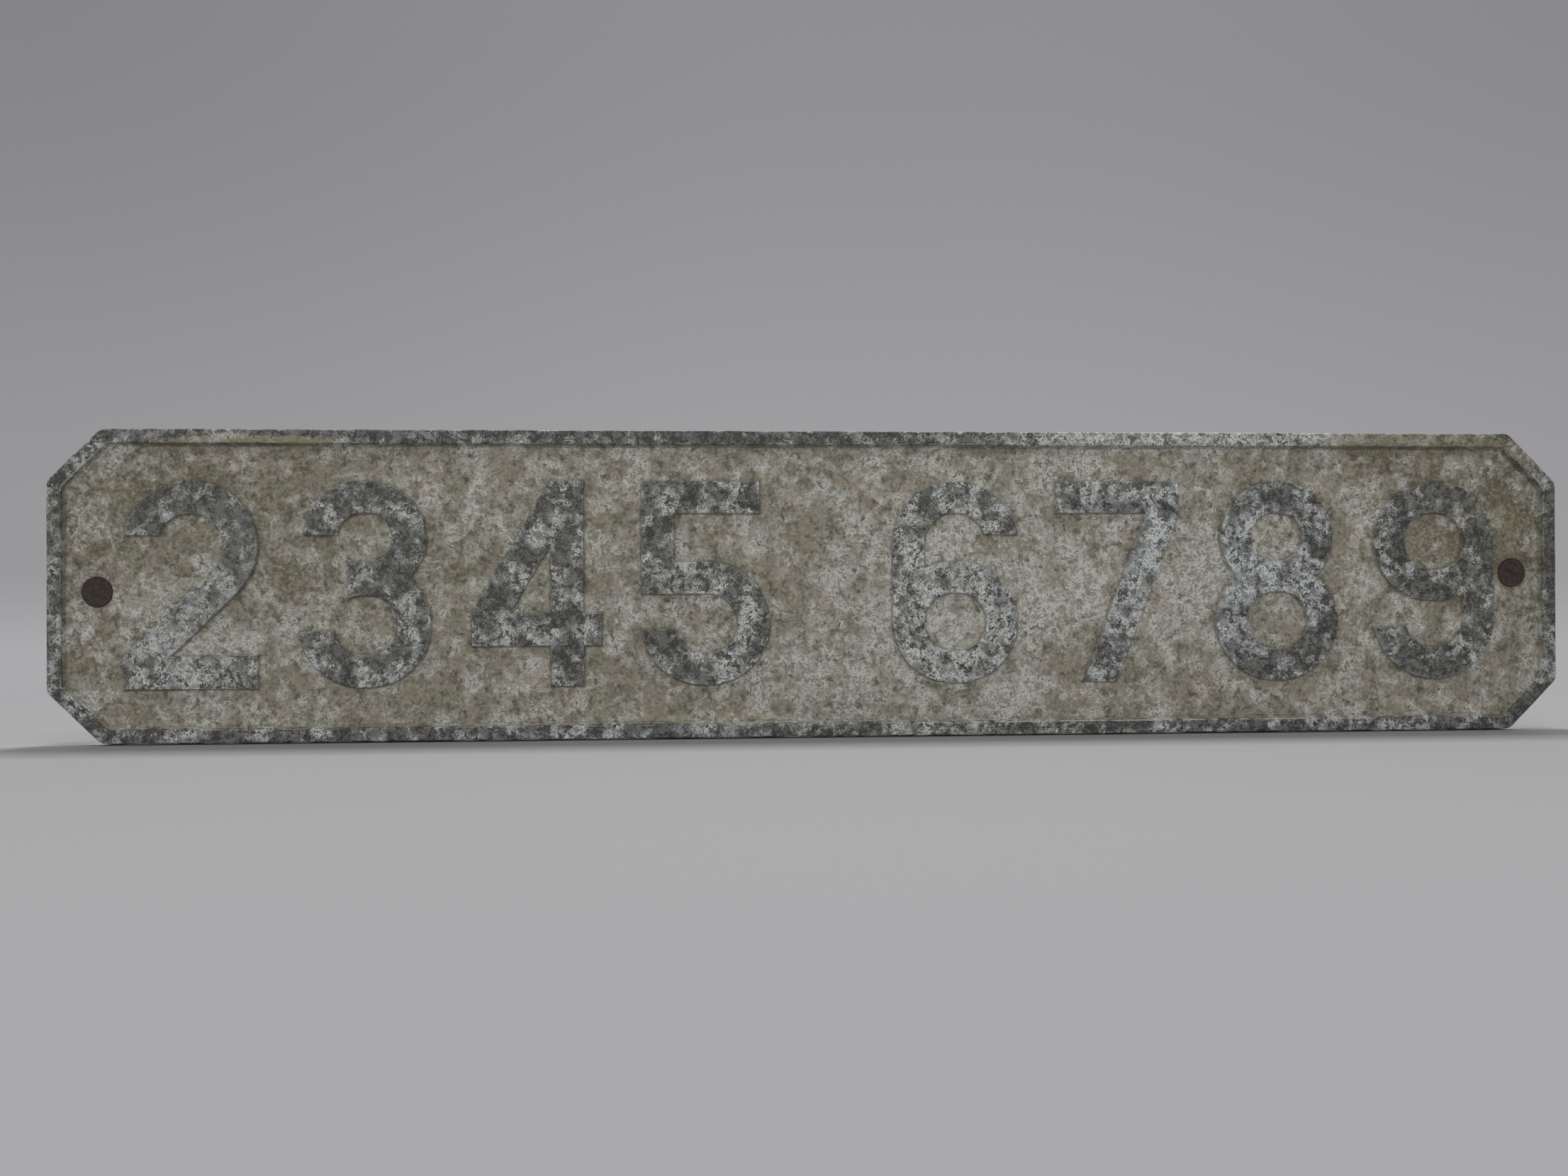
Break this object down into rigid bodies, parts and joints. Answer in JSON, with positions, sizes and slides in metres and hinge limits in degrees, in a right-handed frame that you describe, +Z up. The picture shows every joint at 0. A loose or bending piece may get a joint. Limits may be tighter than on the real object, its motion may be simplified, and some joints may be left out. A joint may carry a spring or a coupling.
{
  "type": "street name sign",
  "caption": "Long cast metal street name plate with clipped corners, a raised rim and raised block figures, held by slotted countersunk screws near its ends.",
  "frame": {"origin": "middle of the flat back face, which lies against the wall", "axes": "+X along the plate, to the right as its face is read; +Y out of the back, into the wall; +Z up; the face looks along -Y"},
  "size_m": [0.762, 0.0351, 0.155],
  "materials": {
    "painted_casting": "matte chalked paint over cast aluminium",
    "rusted_steel": "matte rust"
  },
  "bodies": {
    "root": {"name_plate": "painted_casting", "fixing_screws": "rusted_steel"}
  },
  "joints": []
}
